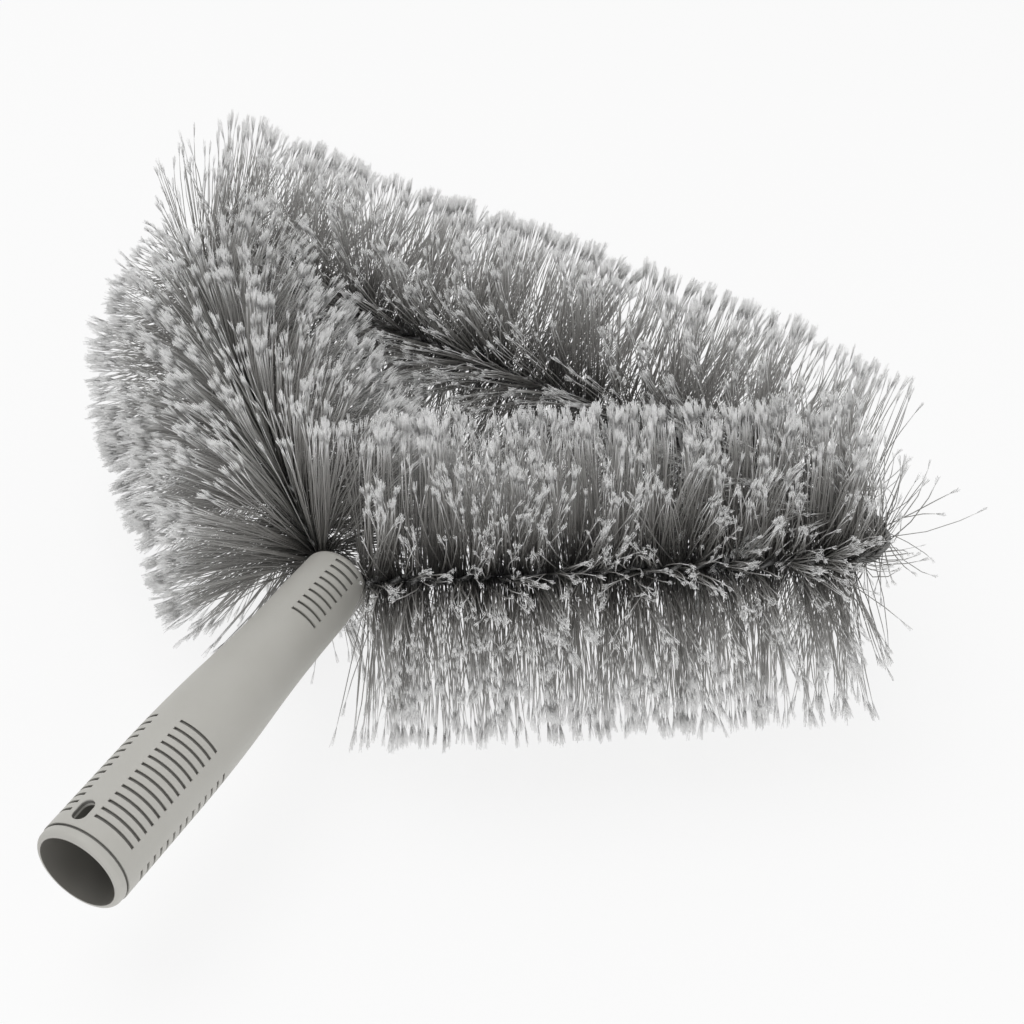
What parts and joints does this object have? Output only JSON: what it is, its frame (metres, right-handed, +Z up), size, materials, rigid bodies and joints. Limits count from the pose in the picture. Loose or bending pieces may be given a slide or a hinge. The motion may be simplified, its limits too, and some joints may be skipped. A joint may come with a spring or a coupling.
{
  "type": "cobweb brush",
  "caption": "Cobweb brush head: a twisted-wire brush bent into a wide triangular loop, its ends fixed in a tapered plastic handle with a push-on pole socket.",
  "frame": {"origin": "middle of the pole socket's mouth", "axes": "+Y along the handle towards the head, +Z up and square to the wire loop's plane, +X to the right"},
  "size_m": [0.3704, 0.3264, 0.109],
  "materials": {
    "handle_plastic": "fine matt moulded plastic, warm light grey",
    "stem_wire": "drawn steel wire, dull dark grey",
    "anchor_steel": "plain steel, hidden in the handle",
    "filament": "silver-grey plastic filaments with pale split tips"
  },
  "bodies": {
    "root": {"handle_grip": "handle_plastic", "retaining_washer": "anchor_steel", "stem_ferrule_right": "anchor_steel", "stem_ferrule_left": "anchor_steel", "stem_strand_a": "stem_wire", "stem_strand_b": "stem_wire", "bristles_right_leg_1": "filament", "bristles_right_leg_2": "filament", "bristles_right_leg_3": "filament", "bristles_left_leg_1": "filament", "bristles_left_leg_2": "filament", "bristles_left_leg_3": "filament", "bristles_far_side_1": "filament", "bristles_far_side_2": "filament", "bristles_far_side_3": "filament", "bristles_far_side_4": "filament", "bristles_far_side_5": "filament", "bristles_right_corner": "filament", "bristles_left_corner": "filament"}
  },
  "joints": []
}
